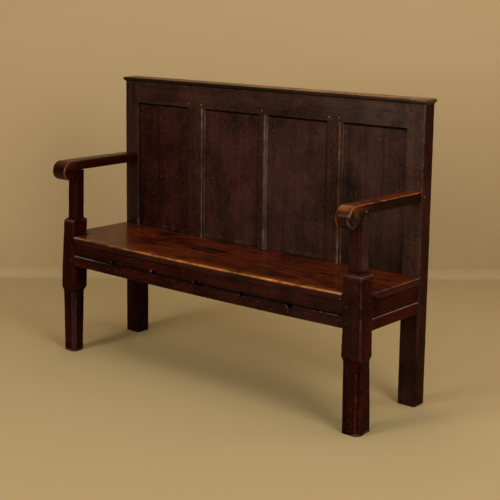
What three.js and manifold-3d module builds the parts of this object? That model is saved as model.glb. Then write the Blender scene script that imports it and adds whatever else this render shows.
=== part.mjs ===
// A joined oak settle: two arms, a plank seat, open legs and a back of four panels.
// Millimetres, +Z up. A sitter faces -Y, and +X is on the right in a front view.
// The front faces of the front posts lie on y = 0 until the whole is centred at the end.
import * as THREE from 'three';
import { mergeVertices } from 'three/addons/utils/BufferGeometryUtils.js';
import Module from 'manifold-3d';

const wasm = await Module();
wasm.setup();

// Driving dimensions

const overall = {
  length: 1398,        // over the outer faces of the front posts
  depth: 407,          // front of the posts to the back of the stiles, at the floor
  stileHeight: 1046,   // floor to the underside of the crest
  backLean: 15,        // how far the stiles lean back over their height
};

// General fits: the gap that faces keep, the overrun of a cut, and a worn arris
const fit = 0.3;
const overrun = 6;
const arris = 1.5;
const mortiseEndGap = 2;

const post = {
  width: 71,
  depth: 67,
  stepHeight: 261,      // floor to the underside of the square block
  stepSlope: 16,
  blockTop: 532,
  taperStart: 342,      // the block is square and full here, and tapers up and down from it
  shoulderRise: 8,
  legFrontInset: 5,
  supportFrontInset: 11,
  supportDepth: 42,
  supportChamfer: 8,
  tenonInset: 5,        // the tenon's outer face behind the support's
  tenonWidth: 18,
  tenonDepth: 18,
  tenonHeight: 20,
};

// What differs between the two posts, as insets from the block's outer and inner faces
const postSides = {
  left: {
    side: -1,
    legOuter: 0, legInner: 13, footInner: 18, legRear: 8, footRear: 15, legChamfer: 13,
    stepOuter: -4, stepInner: 0, stepRear: 4.5,
    topTaper: 18, topRearTaper: -5.5,
    supportOuter: 30, supportWidth: 43, supportTopOuter: 39, supportTopWidth: 41,
  },
  right: {
    side: 1,
    legOuter: 6, legInner: 2, footInner: 2, legRear: 1, footRear: -9, legChamfer: 12,
    stepOuter: 0, stepInner: -3, stepRear: -1.5,
    topTaper: 1, topRearTaper: -1,
    supportOuter: 10, supportWidth: 48.5, supportTopOuter: 12, supportTopWidth: 46.5,
  },
};

const stile = {
  width: 69,
  depth: 58.5,
  outerInset: 1,        // the stiles stand this far inside the posts' outer faces
  footChamfer: 7,
  footChamferHeight: 330,
};

const seat = {
  height: 471,          // top of the plank at its front corners
  thickness: 24,
  nosing: 5,            // how far the edge stands in front of the posts
  nosingRound: 6,
  quirk: 2.5,           // the small step under the rounded edge
  bead: 7,              // height of the bead along the bottom of the edge
  endOverhang: 4,
  fall: 10,             // the seat drops this much from front to back
  sag: 6,               // and this much at mid length
  postSideGap: 3,
  postRearGap: 15,
  scribeGap: 0.6,       // round the muntins, the stiles and the panels
};

const rail = {
  thickness: 30,
  setback: 2,
  frontHeight: 92,
  endHeight: 102,
  rearHeight: 84,
  tenonThickness: 10,
  tenonLength: 38,
  tenonSetback: 10,     // the tenon's front face behind the frame's face
  tenonShoulder: 12,    // the tenon is this much lower than its rail, top and bottom
  endTenonLength: 38,
  endTenonInset: 10,    // the end rail's tenon behind its own outer face
  rearLedge: 16,        // the rear rail stands this far in front of the stiles
};

// The channel along the front and end rails: the lower half stands proud of it
const channel = {
  height: 41,           // from the rail's bottom edge to the lip
  lip: 2.5,
  depth: 4.5,
  width: 7,
  upperSetback: 1.5,
};

const ropeHole = {
  radius: 5,
  spacing: 207,
  count: 5,
  riseShares: [0.54, 0.53, 0.51, 0.47, 0.42],   // heights, as shares of the rail's height
};

const topRail = {
  height: 83,
  thickness: 28,
  tenonHeight: 58,
};

const crest = {
  thickness: 17,
  frontOverhang: 10,
  rearOverhang: 4,
  endOverhang: 5,
  lip: 12,              // height of the square edge above the cove
  fillet: 1,
};

const panel = {
  recess: 11,           // panel face behind the frame's face
  edge: 7,              // thickness in the groove
  field: 12,            // thickness in the middle
  bevel: 32,            // width of the bevel behind each edge
  groove: 10,
  tongue: 8.5,
};

const muntin = {
  thickness: 28,
  chamfer: 10,
  stop: 3,
  tenonHeight: 26,
  tenonShoulder: 7,
};

// Places of the three muntins along the settle, from its middle, and their widths
const muntinPlaces = {
  left: { centre: -322, width: 92 },
  middle: { centre: 9, width: 46 },
  right: { centre: 333, width: 72 },
};

const arm = {
  top: 764,
  thickness: 36.5,
  scrollRadius: 37,
  edgeRound: 5,
  seatLevel: 3,         // how far the level seat under the arm runs past the post
  tenonThickness: 14,
  tenonHeight: 20,
  tenonLength: 36,
};

// The arms in plan: their sides at the front and at the back, inside the posts' outer faces
const armSides = {
  left: {
    side: -1, reach: 40, topFall: 7, undersideFall: 6,
    frontOuter: 2, frontInner: 73, rearOuter: 3, rearInner: 62,
  },
  right: {
    side: 1, reach: 60, topFall: 12, undersideFall: 11,
    frontOuter: 8, frontInner: 66, rearOuter: 9, rearInner: 65,
  },
};

const peg = {
  radius: 4.5,
  tipShare: 0.9,        // tip radius over head radius
  proud: 1,
  sides: 8,
  postInset: 15,        // peg line behind the shoulder of its joint
  edgeInset: 18,        // pegs from the rail's top and bottom edges
  length: 48,
  shortLength: 24,
};

// Steps of the curved forms
const plankSteps = 16;
const roundSteps = 4;
const scrollSteps = 16;
const edgeSteps = 2;
const holeSides = 12;

// Places that follow from the sizes above

const halfLength = overall.length / 2;
const innerPost = halfLength - post.width;
const lean = overall.backLean / overall.stileHeight;
const stileFront = overall.depth - stile.depth;
const stileOuter = halfLength - stile.outerInset;
const stileInner = stileOuter - stile.width;
const seatUnderside = seat.height - seat.thickness;
const railTop = seatUnderside - fit;
const topRailBottom = overall.stileHeight - topRail.height;
const armUnderside = arm.top - arm.thickness;
const supportTop = armUnderside - fit;
const tenonBack = rail.tenonSetback + rail.tenonThickness;
const muntins = Object.entries(muntinPlaces)
  .map(([word, place]) => ({ name: `${word}_muntin`, ...place }));

// y of the leaning front face of the stiles at a height
const stileFaceAt = (z) => stileFront + lean * z;

// How far the seat and its rails drop at a place
function seatDrop(x, y) {
  const along = x / halfLength;
  return (seat.fall * y) / stileFront + seat.sag * (1 - along * along);
}

// Geometry helpers

// A box between two corners, with steps along x where it is to follow the sag
function box([x0, x1], [y0, y1], [z0, z1], steps = 1) {
  const geometry = new THREE.BoxGeometry(x1 - x0, y1 - y0, z1 - z0, steps, 1, 1);
  return geometry.translate((x0 + x1) / 2, (y0 + y1) / 2, (z0 + z1) / 2);
}

// An outline of [y, z] points drawn along x
function alongX(points, [x0, x1], options = {}) {
  const shape = new THREE.Shape(points.map(([y, z]) => new THREE.Vector2(y, z)));
  const settings = { depth: x1 - x0, steps: 1, bevelEnabled: false, ...options };
  const geometry = new THREE.ExtrudeGeometry(shape, settings);
  const axes = new THREE.Matrix4().makeBasis(
    new THREE.Vector3(0, 1, 0), new THREE.Vector3(0, 0, 1), new THREE.Vector3(1, 0, 0));
  return geometry.applyMatrix4(axes).translate(x0, 0, 0);
}

// An outline of [x, y] points drawn up along z
function alongZ(points, [z0, z1]) {
  const shape = new THREE.Shape(points.map(([x, y]) => new THREE.Vector2(x, y)));
  const geometry = new THREE.ExtrudeGeometry(shape, { depth: z1 - z0, bevelEnabled: false });
  return geometry.translate(0, 0, z0);
}

// Points on an arc in an outline, from one angle to another
function arc([cy, cz], radius, start, end, steps) {
  return Array.from({ length: steps + 1 }, (_, i) => {
    const angle = start + ((end - start) * i) / steps;
    return [cy + radius * Math.cos(angle), cz + radius * Math.sin(angle)];
  });
}

// An eight-sided section: a rectangle with its corners cut, the front right one by its own size
function section(z, [x0, x1], [y0, y1], frontRight = arris) {
  return [
    [x0 + arris, y0, z], [x1 - frontRight, y0, z], [x1, y0 + frontRight, z], [x1, y1 - arris, z],
    [x1 - arris, y1, z], [x0 + arris, y1, z], [x0, y1 - arris, z], [x0, y0 + arris, z],
  ];
}

// A solid through a stack of such sections, lowest first
function loft(rings) {
  const count = rings[0].length;
  const index = [];
  for (let r = 0; r + 1 < rings.length; r += 1) {
    for (let i = 0; i < count; i += 1) {
      const a = r * count + i;
      const b = r * count + ((i + 1) % count);
      index.push(a, b, b + count, a, b + count, a + count);
    }
  }
  const top = (rings.length - 1) * count;
  for (let i = 1; i + 1 < count; i += 1) {
    index.push(0, i + 1, i, top, top + i, top + i + 1);
  }
  const geometry = new THREE.BufferGeometry();
  geometry.setAttribute('position', new THREE.Float32BufferAttribute(rings.flat(2), 3));
  geometry.setIndex(index);
  return geometry;
}

// Moves every point of a geometry
function warp(geometry, move) {
  const position = geometry.attributes.position;
  const point = new THREE.Vector3();
  for (let i = 0; i < position.count; i += 1) {
    point.fromBufferAttribute(position, i);
    move(point);
    position.setXYZ(i, point.x, point.y, point.z);
  }
  return geometry;
}

// Leans a piece of the back with the stiles
const leaned = (geometry) => geometry.applyMatrix4(new THREE.Matrix4().makeShear(0, 0, 0, 0, 0, lean));

// Lets a piece drop with the seat
const settled = (geometry) => warp(geometry, (p) => {
  p.z -= seatDrop(p.x, p.y);
});

// Lets only the foot of a piece of the back drop with the seat, its head staying where it is
const footSettled = (geometry) => warp(geometry, (p) => {
  const share = (topRailBottom - p.z) / (topRailBottom - railTop);
  p.z -= seatDrop(p.x, p.y) * Math.max(share, 0);
});

function toSolid(geometry) {
  const bare = new THREE.BufferGeometry();
  bare.setAttribute('position', geometry.attributes.position);
  bare.setIndex(geometry.index);
  const merged = mergeVertices(bare);
  return new wasm.Manifold(new wasm.Mesh({
    numProp: 3,
    vertProperties: new Float32Array(merged.attributes.position.array),
    triVerts: new Uint32Array(merged.index.array),
  }));
}

function toGeometry(solid) {
  const mesh = solid.getMesh();
  const geometry = new THREE.BufferGeometry();
  geometry.setAttribute('position', new THREE.BufferAttribute(mesh.vertProperties, 3));
  geometry.setIndex(new THREE.BufferAttribute(mesh.triVerts, 1));
  geometry.computeVertexNormals();
  return geometry;
}

const joined = (...geometries) => geometries.map(toSolid).reduce((sum, next) => sum.add(next));
const cut = (solid, cutters) => cutters.map(toSolid).reduce((rest, next) => rest.subtract(next), solid);

// The same range a little larger, for the hole that a tenon or a tongue goes into
const wider = ([low, high], gap = fit) => [low - gap, high + gap];

// A range on one side of the middle, given from the middle outwards
const onSide = (side, inner, outer) => (side < 0 ? [-outer, -inner] : [inner, outer]);

// The pieces and their finishes

const finishes = {
  frame: { color: 0x2a1410, roughness: 0.38 },
  back: { color: 0x24130f, roughness: 0.42 },
  panel: { color: 0x2c1512, roughness: 0.45 },
  seat: { color: 0x5a2c17, roughness: 0.28 },
  arm: { color: 0x3a1d12, roughness: 0.35 },
  peg: { color: 0x3b2418, roughness: 0.55 },
};

const solids = new Map();
const addPiece = (name, finish, solid) => solids.set(name, { finish, solid });

// Tenons of the rails, each as ranges of x, y and z before the seat's drop

const frontTenonZ = [railTop - rail.frontHeight + rail.tenonShoulder, railTop - rail.tenonShoulder];
const endTenonZ = [railTop - rail.endHeight + rail.tenonShoulder, railTop - rail.tenonShoulder];
const rearTenonZ = [railTop - rail.rearHeight + rail.tenonShoulder, railTop - rail.tenonShoulder];
const topTenonZ = [topRailBottom + (topRail.height - topRail.tenonHeight) / 2,
  topRailBottom + (topRail.height + topRail.tenonHeight) / 2];
const frontTenonY = [rail.tenonSetback + rail.setback, tenonBack + rail.setback];
const backTenonY = [stileFront + rail.tenonSetback, stileFront + tenonBack];
const endRailOuter = halfLength - rail.setback;
const endTenonX = [endRailOuter - rail.endTenonInset - rail.tenonThickness,
  endRailOuter - rail.endTenonInset];
const frontReach = innerPost + rail.tenonLength;
const backReach = stileInner + rail.tenonLength;
const endTenonY = [post.depth - rail.endTenonLength, stileFront + rail.endTenonLength];

// The groove for the panels, as a range of y in the upright back
const panelFace = stileFront + panel.recess;
const grooveY = wider([panelFace, panelFace + panel.edge]);

// Front posts

function postRanges(sizes, outer, inner, front, rear) {
  const x = onSide(sizes.side, innerPost + inner, halfLength - outer);
  return [x, [front, post.depth - rear]];
}

// How far the outer face of a post's block stands in at a height
function blockInset(sizes, z) {
  const share = (z - post.taperStart) / (post.blockTop - post.taperStart);
  return sizes.topTaper * Math.max(share, 0);
}

function postBody(sizes) {
  const foot = postRanges(sizes, sizes.legOuter, sizes.footInner, post.legFrontInset, sizes.footRear);
  const leg = postRanges(sizes, sizes.legOuter, sizes.legInner, post.legFrontInset, sizes.legRear);
  const step = postRanges(sizes, sizes.stepOuter, sizes.stepInner, 0, sizes.stepRear);
  const block = postRanges(sizes, 0, 0, 0, 0);
  const railLevel = postRanges(sizes, blockInset(sizes, railTop), 0, 0, 0);
  const blockTop = postRanges(sizes, sizes.topTaper, 0, 0, sizes.topRearTaper);
  const support = supportRanges(sizes, sizes.supportOuter, sizes.supportWidth);
  const supportHead = supportRanges(sizes, sizes.supportTopOuter, sizes.supportTopWidth);
  const tenon = supportTenon(sizes);
  return loft([
    section(0, ...foot, sizes.legChamfer),
    section(post.stepHeight - post.stepSlope, ...leg, sizes.legChamfer),
    section(post.stepHeight, ...step),
    section(post.taperStart, ...block),
    section(railTop, ...railLevel),
    section(post.blockTop, ...blockTop),
    section(post.blockTop + post.shoulderRise, ...support, post.supportChamfer),
    section(supportTop, ...supportHead, post.supportChamfer),
    section(supportTop, ...tenon),
    section(supportTop + post.tenonHeight, ...tenon),
  ]);
}

// The arm support at its foot or its head, as ranges of x and y
function supportRanges(sizes, outer, width) {
  return postRanges(sizes, outer, post.width - outer - width, post.supportFrontInset,
    post.depth - post.supportFrontInset - post.supportDepth);
}

// The tenon on top of an arm support, as ranges of x and y
function supportTenon(sizes) {
  const outer = halfLength - sizes.supportTopOuter - post.tenonInset;
  const middleY = post.supportFrontInset + post.supportDepth / 2;
  return [
    onSide(sizes.side, outer - post.tenonWidth, outer),
    [middleY - post.tenonDepth / 2, middleY + post.tenonDepth / 2],
  ];
}

function addFrontPost(name, sizes) {
  const railMortiseX = onSide(sizes.side, innerPost - overrun, frontReach + mortiseEndGap);
  const railMortise = box(railMortiseX, wider(frontTenonY), wider(frontTenonZ));
  const endMortise = box(onSide(sizes.side, ...wider(endTenonX)),
    [endTenonY[0] - mortiseEndGap, post.depth + overrun], wider(endTenonZ));
  const body = toSolid(postBody(sizes));
  addPiece(name, 'frame', cut(body, [settled(railMortise), settled(endMortise)]));
}

// Rear stiles

function addStile(name, side) {
  const x = onSide(side, stileInner, stileOuter);
  const y = [stileFront, stileFront + stile.depth];
  const body = leaned(loft([
    section(0, x, y, stile.footChamfer),
    section(stile.footChamferHeight, x, y, arris),
    section(overall.stileHeight, x, y),
  ]));
  const inward = onSide(side, stileInner - overrun, backReach + mortiseEndGap);
  const rearMortise = box(inward, wider(backTenonY), wider(rearTenonZ));
  const topMortise = box(inward, wider(backTenonY), wider(topTenonZ));
  const endMortise = box(onSide(side, ...wider(endTenonX)),
    [stileFront - overrun, endTenonY[1] + mortiseEndGap], wider(endTenonZ));
  const groove = box(onSide(side, stileInner - overrun, stileInner + panel.groove), grooveY,
    [railTop - seat.fall - seat.sag - panel.groove, topRailBottom + panel.groove]);
  const armHole = box(...armTenon(side < 0 ? armSides.left : armSides.right, fit));
  addPiece(name, 'back', cut(toSolid(body), [
    settled(leaned(rearMortise)), leaned(topMortise), settled(endMortise), leaned(groove), armHole,
  ]));
}

// Rails under the seat

// The section of a front or end rail: [depth behind the frame's face, height] points
function railOutline(height) {
  const bottom = railTop - height;
  const lipTop = bottom + channel.height;
  return [
    [0, bottom], [rail.thickness, bottom], [rail.thickness, railTop],
    [channel.upperSetback, railTop], [channel.upperSetback, lipTop + channel.width],
    [channel.depth, lipTop + channel.width - channel.lip], [channel.depth, lipTop],
    [channel.lip, lipTop], [0, lipTop - channel.lip],
  ];
}

function ropeHoles() {
  return Array.from({ length: ropeHole.count }, (_, i) => {
    const x = (i - (ropeHole.count - 1) / 2) * ropeHole.spacing;
    const share = ropeHole.riseShares[i % ropeHole.riseShares.length];
    const z = railTop - rail.frontHeight * (1 - share) - seatDrop(x, rail.setback);
    const length = rail.thickness + 2 * overrun;
    const hole = new THREE.CylinderGeometry(ropeHole.radius, ropeHole.radius, length, holeSides);
    return hole.translate(x, rail.setback + rail.thickness / 2, z);
  });
}

function addFrontRail() {
  const outline = railOutline(rail.frontHeight).map(([y, z]) => [y + rail.setback, z]);
  const body = alongX(outline, [fit - innerPost, innerPost - fit], { steps: plankSteps });
  const tenons = box([-frontReach, frontReach], frontTenonY, frontTenonZ, plankSteps);
  addPiece('front_seat_rail', 'frame', cut(joined(settled(body), settled(tenons)), ropeHoles()));
}

// An end rail runs from the post to the leaning face of the stile
function addEndRail(name, side) {
  const outline = railOutline(rail.endHeight).map(([depth, z]) => [side * (endRailOuter - depth), z]);
  const shape = new THREE.Shape(outline.map(([x, z]) => new THREE.Vector2(x, z)));
  const start = post.depth + fit;
  const depth = stileFront - start;
  const body = new THREE.ExtrudeGeometry(shape, { depth, bevelEnabled: false });
  const axes = new THREE.Matrix4().makeBasis(
    new THREE.Vector3(1, 0, 0), new THREE.Vector3(0, 0, 1), new THREE.Vector3(0, -1, 0));
  body.applyMatrix4(axes).translate(0, stileFront, 0);
  const fitted = warp(body, (p) => {
    if (p.y > start + depth / 2) p.y = stileFaceAt(p.z - seat.fall) - fit;
  });
  const tenons = box(onSide(side, ...endTenonX), endTenonY, endTenonZ);
  addPiece(name, 'frame', joined(settled(fitted), settled(tenons)));
}

function addRearRail() {
  const y = [stileFront - rail.rearLedge, stileFront + muntin.thickness];
  const z = [railTop - rail.rearHeight, railTop];
  const body = box([fit - stileInner, stileInner - fit], y, z, plankSteps);
  const tenons = box([-backReach, backReach], backTenonY, rearTenonZ, plankSteps);
  const groove = box([-halfLength, halfLength], grooveY,
    [railTop - panel.groove, railTop + overrun], plankSteps);
  const mortises = muntins.map((m) => box(wider(muntinTenonX(m)), wider(backTenonY),
    [railTop - muntin.tenonHeight - mortiseEndGap, railTop + overrun]));
  const cutters = [groove, ...mortises].map((g) => settled(leaned(g)));
  const solid = joined(settled(leaned(body)), settled(leaned(tenons)));
  addPiece('rear_seat_rail', 'back', cut(solid, cutters));
}

// The back: top rail, crest, muntins and panels

const muntinX = (m) => [m.centre - m.width / 2, m.centre + m.width / 2];
const muntinTenonX = (m) => [m.centre - m.width / 2 + muntin.tenonShoulder,
  m.centre + m.width / 2 - muntin.tenonShoulder];

function addTopRail() {
  const body = box([fit - stileInner, stileInner - fit], [stileFront, stileFront + topRail.thickness],
    [topRailBottom, overall.stileHeight]);
  const tenons = box([-backReach, backReach], backTenonY, topTenonZ);
  const groove = box([-stileInner, stileInner], grooveY,
    [topRailBottom - overrun, topRailBottom + panel.groove]);
  const mortises = muntins.map((m) => box(wider(muntinTenonX(m)), wider(backTenonY),
    [topRailBottom - overrun, topRailBottom + muntin.tenonHeight + mortiseEndGap]));
  const whole = joined(leaned(body), leaned(tenons));
  addPiece('back_top_rail', 'back', cut(whole, [groove, ...mortises].map(leaned)));
}

function addCrest() {
  const bottom = overall.stileHeight + fit;
  const top = bottom + crest.thickness;
  const front = stileFront - crest.frontOverhang;
  const cove = crest.thickness - crest.lip - crest.fillet;
  const rear = stileFront + stile.depth + crest.rearOverhang;
  const outline = [
    [rear, bottom], [rear, top], [front + arris, top], [front, top - arris],
    [front, top - crest.lip], ...arc([front, bottom + crest.fillet], cove, Math.PI / 2, 0, roundSteps),
    [front + cove, bottom],
  ];
  const reach = stileOuter + crest.endOverhang;
  addPiece('crest_board', 'back', toSolid(leaned(alongX(outline.reverse(), [-reach, reach]))));
}

function addMuntin(m) {
  const x = muntinX(m);
  const y = [stileFront, stileFront + muntin.thickness];
  const body = box(x, y, [railTop + fit, topRailBottom - fit]);
  const tenon = box(muntinTenonX(m), backTenonY,
    [railTop - muntin.tenonHeight, topRailBottom + muntin.tenonHeight]);
  const ends = [railTop - muntin.tenonHeight - overrun,
    topRailBottom + muntin.tenonHeight + overrun];
  const grooves = [
    box([x[0] - overrun, x[0] + panel.groove], grooveY, ends),
    box([x[1] - panel.groove, x[1] + overrun], grooveY, ends),
  ];
  const c = muntin.chamfer;
  const length = [seat.height + muntin.stop, topRailBottom - muntin.stop];
  const chamfers = [[x[0], 1], [x[1], -1]].map(([edge, way]) => {
    const points = [[edge - way * c, stileFront - c], [edge + way * c, stileFront - c],
      [edge - way * c, stileFront + c]];
    return alongZ(way > 0 ? points : points.reverse(), length);
  });
  const settledParts = [body, tenon].map((g) => footSettled(leaned(g)));
  const cutters = [...grooves, ...chamfers].map((g) => footSettled(leaned(g)));
  addPiece(m.name, 'back', cut(joined(...settledParts), cutters));
}

// A panel fills the space between two uprights: flat in front, bevelled behind
function addPanel(name, [left, right]) {
  const x = [left - panel.tongue, right + panel.tongue];
  const z = [railTop - panel.tongue, topRailBottom + panel.tongue];
  const ring = (y, inset) => [
    [x[0] + inset, y, z[0] + inset], [x[0] + inset, y, z[1] - inset],
    [x[1] - inset, y, z[1] - inset], [x[1] - inset, y, z[0] + inset],
  ];
  const body = loft([
    ring(panelFace, 0), ring(panelFace + panel.edge, 0),
    ring(panelFace + panel.edge, panel.tongue + fit), ring(panelFace + panel.field, panel.bevel),
  ]);
  addPiece(name, 'panel', toSolid(footSettled(leaned(body))));
}

// Seat plank

function addSeat() {
  const top = seat.height;
  const bottom = seatUnderside;
  const front = -seat.nosing;
  const rear = panelFace + lean * top - seat.scribeGap;
  const round = seat.nosingRound;
  const outline = [
    [rear, bottom], [rear, top],
    ...arc([front + round, top - round], round, Math.PI / 2, Math.PI, roundSteps),
    [front, bottom + seat.bead + seat.quirk], [front + seat.quirk, bottom + seat.bead],
    [front + seat.quirk / 2, bottom + seat.bead / 2], [front + seat.quirk, bottom],
  ].reverse();
  const reach = halfLength + seat.endOverhang;
  const plank = settled(alongX(outline, [-reach, reach], { steps: plankSteps }));
  const height = [bottom - seat.fall - seat.sag - overrun, top + overrun];
  const outside = reach + overrun;
  const notches = [-1, 1].flatMap((side) => [
    box(onSide(side, innerPost - seat.postSideGap, outside),
      [front - overrun, post.depth + seat.postRearGap], height),
    leaned(box(onSide(side, stileInner - seat.scribeGap, outside),
      [stileFront - seat.scribeGap, rear + overrun], height)),
  ]);
  const scribes = muntins.map((m) => leaned(box(wider(muntinX(m), seat.scribeGap),
    [stileFront - seat.scribeGap, rear + overrun], height)));
  addPiece('seat_plank', 'seat', cut(toSolid(plank), [...notches, ...scribes]));
}

// Arms

// The arm's tenon in the stile, as ranges, with a gap round it for the mortise
function armTenon(sizes, gap = 0) {
  const middleX = sizes.side * (halfLength - (sizes.rearOuter + sizes.rearInner) / 2);
  const middleZ = (arm.top - sizes.topFall + armUnderside - sizes.undersideFall) / 2;
  const rear = stileFaceAt(middleZ) + arm.tenonLength;
  return [
    wider([middleX - arm.tenonThickness / 2, middleX + arm.tenonThickness / 2], gap),
    [stileFront - (gap ? overrun : arm.tenonLength), rear + (gap ? mortiseEndGap : 0)],
    wider([middleZ - arm.tenonHeight / 2, middleZ + arm.tenonHeight / 2], gap),
  ];
}

// The arm in side view: scrolled front, level seat on the post, then a slight fall to the stile
function armOutline(sizes) {
  const radius = arm.scrollRadius;
  const centre = [radius - sizes.reach, arm.top - radius];
  const postFace = post.supportFrontInset - fit;
  const meet = Math.min((postFace - centre[0]) / radius, 1);
  const levelEnd = post.supportFrontInset + post.supportDepth + arm.seatLevel;
  const rearTop = arm.top - sizes.topFall;
  const rearBottom = armUnderside - sizes.undersideFall;
  return [
    ...arc(centre, radius, Math.PI / 2, Math.PI * 2 - Math.acos(meet), scrollSteps),
    [postFace, armUnderside], [levelEnd, armUnderside],
    [stileFaceAt(rearBottom) - fit, rearBottom], [stileFaceAt(rearTop) - fit, rearTop],
  ];
}

function addArm(name, sizes, postSizes) {
  const round = arm.edgeRound;
  const options = {
    bevelEnabled: true, bevelThickness: round, bevelSize: round, bevelOffset: -round,
    bevelSegments: edgeSteps,
  };
  const width = sizes.frontInner - sizes.frontOuter;
  const body = alongX(armOutline(sizes), [round, width - round], options);
  const rear = stileFaceAt(arm.top);
  const tapered = warp(body, (p) => {
    const along = (p.y + sizes.reach) / (rear + sizes.reach);
    const outer = sizes.frontOuter + (sizes.rearOuter - sizes.frontOuter) * along;
    const inner = sizes.frontInner + (sizes.rearInner - sizes.frontInner) * along;
    const inset = sizes.side > 0 ? inner + ((outer - inner) * p.x) / width
      : outer + ((inner - outer) * p.x) / width;
    p.x = sizes.side * (halfLength - inset);
  });
  const [tenonX, tenonY] = supportTenon(postSizes);
  const mortise = box(wider(tenonX), wider(tenonY),
    [armUnderside - overrun, supportTop + post.tenonHeight + mortiseEndGap]);
  addPiece(name, 'arm', cut(joined(tapered, box(...armTenon(sizes))), [mortise]));
}

// Pegs

// A tapered peg with its head at a point, driven along +y, -x or +x
function pegShape(head, direction, length, gap = 0) {
  const radius = peg.radius + gap;
  const total = length + gap;
  const body = new THREE.CylinderGeometry(radius, radius * peg.tipShare, total, peg.sides);
  body.translate(0, -total / 2, 0);
  const turn = new THREE.Quaternion().setFromUnitVectors(new THREE.Vector3(0, -1, 0), direction);
  return body.applyQuaternion(turn).translate(head.x, head.y, head.z);
}

const pegs = [];

// Drives a peg from a face: it stands a little proud, and its hole runs out of that face
function drivePeg(name, head, direction, length, through) {
  const start = head.clone().addScaledVector(direction, -peg.proud);
  pegs.push({ name, shape: pegShape(start, direction, length) });
  const hole = toSolid(pegShape(start, direction, length, fit));
  through.forEach((target) => {
    const entry = solids.get(target);
    entry.solid = entry.solid.subtract(hole);
  });
}

// Names for a pair of pegs, one above the other
const pairNames = ['upper', 'lower'];

// Two heights inside a tenon, upper first
const pegHeights = ([low, high]) => [high - peg.edgeInset / 2, low + peg.edgeInset / 2];

const intoBack = new THREE.Vector3(0, 1, 0);

// Pegs from the sides end just past the end rail's tenon, short of the long rails' tenons
const sidePegLength = halfLength - endTenonX[0] + peg.radius;

function addSidePegs(word, side, postSizes) {
  const inwards = new THREE.Vector3(-side, 0, 0);
  const postName = `${word}_front_post`;
  const stileName = `${word}_rear_stile`;
  const endRailName = `${word}_end_rail`;
  pairNames.forEach((level, i) => {
    const frontX = side * (innerPost + peg.postInset);
    const frontZ = pegHeights(frontTenonZ)[i];
    drivePeg(`${word}_front_rail_peg_${level}`, new THREE.Vector3(frontX, 0, frontZ),
      intoBack, peg.length, [postName, 'front_seat_rail']);
    const endZ = pegHeights(endTenonZ)[i];
    const inset = blockInset(postSizes, endZ);
    drivePeg(`${word}_end_rail_front_peg_${level}`,
      new THREE.Vector3(side * (halfLength - inset), post.depth - peg.postInset, endZ),
      inwards, sidePegLength - inset, [postName, endRailName]);
    const endRearZ = endZ - seat.fall;
    drivePeg(`${word}_end_rail_rear_peg_${level}`,
      new THREE.Vector3(side * stileOuter, stileFaceAt(endRearZ) + peg.postInset, endRearZ),
      inwards, sidePegLength, [stileName, endRailName]);
    const rearX = side * (stileInner + peg.postInset);
    const rearZ = pegHeights(rearTenonZ)[i] - seat.fall;
    drivePeg(`${word}_rear_rail_peg_${level}`, new THREE.Vector3(rearX, stileFaceAt(rearZ), rearZ),
      intoBack, peg.length, [stileName, 'rear_seat_rail']);
    const topZ = pegHeights(topTenonZ)[i];
    drivePeg(`${word}_top_rail_peg_${level}`, new THREE.Vector3(rearX, stileFaceAt(topZ), topZ),
      intoBack, peg.length, [stileName, 'back_top_rail']);
  });
}

function addArmPegs(word, sizes, postSizes) {
  const inwards = new THREE.Vector3(-sizes.side, 0, 0);
  const [tenonX, tenonY] = supportTenon(postSizes);
  const headY = (tenonY[0] + tenonY[1]) / 2;
  const along = (headY + sizes.reach) / (stileFaceAt(arm.top) + sizes.reach);
  const outer = sizes.frontOuter + (sizes.rearOuter - sizes.frontOuter) * along;
  const tip = sizes.side > 0 ? tenonX[0] : -tenonX[1];
  const headX = halfLength - outer;
  drivePeg(`${word}_arm_front_peg`,
    new THREE.Vector3(sizes.side * headX, headY, supportTop + post.tenonHeight / 2),
    inwards, headX - tip + peg.radius, [`${word}_arm`, `${word}_front_post`]);
  const [rearX, , rearZ] = armTenon(sizes);
  const height = (rearZ[0] + rearZ[1]) / 2;
  const rearTip = sizes.side > 0 ? rearX[0] : -rearX[1];
  drivePeg(`${word}_arm_rear_peg`,
    new THREE.Vector3(sizes.side * stileOuter, stileFaceAt(height) + peg.postInset, height),
    inwards, stileOuter - rearTip + peg.radius, [`${word}_rear_stile`, `${word}_arm`]);
}

function addMuntinPegs(m) {
  const topZ = topRailBottom + muntin.tenonHeight / 2;
  const spread = m.width / 2 - muntin.tenonShoulder - peg.postInset / 2;
  const places = spread > peg.postInset ? [[-spread, '_left'], [spread, '_right']] : [[0, '']];
  places.forEach(([offset, end]) => {
    drivePeg(`${m.name}_top_peg${end}`, new THREE.Vector3(m.centre + offset, stileFaceAt(topZ), topZ),
      intoBack, peg.shortLength, [m.name, 'back_top_rail']);
  });
  const lowZ = railTop - muntin.tenonHeight / 2 - seatDrop(m.centre, stileFront);
  const face = stileFaceAt(lowZ) - rail.rearLedge;
  drivePeg(`${m.name}_foot_peg`, new THREE.Vector3(m.centre, face, lowZ),
    intoBack, rail.rearLedge + peg.shortLength, [m.name, 'rear_seat_rail']);
}

// Assembly

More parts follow.
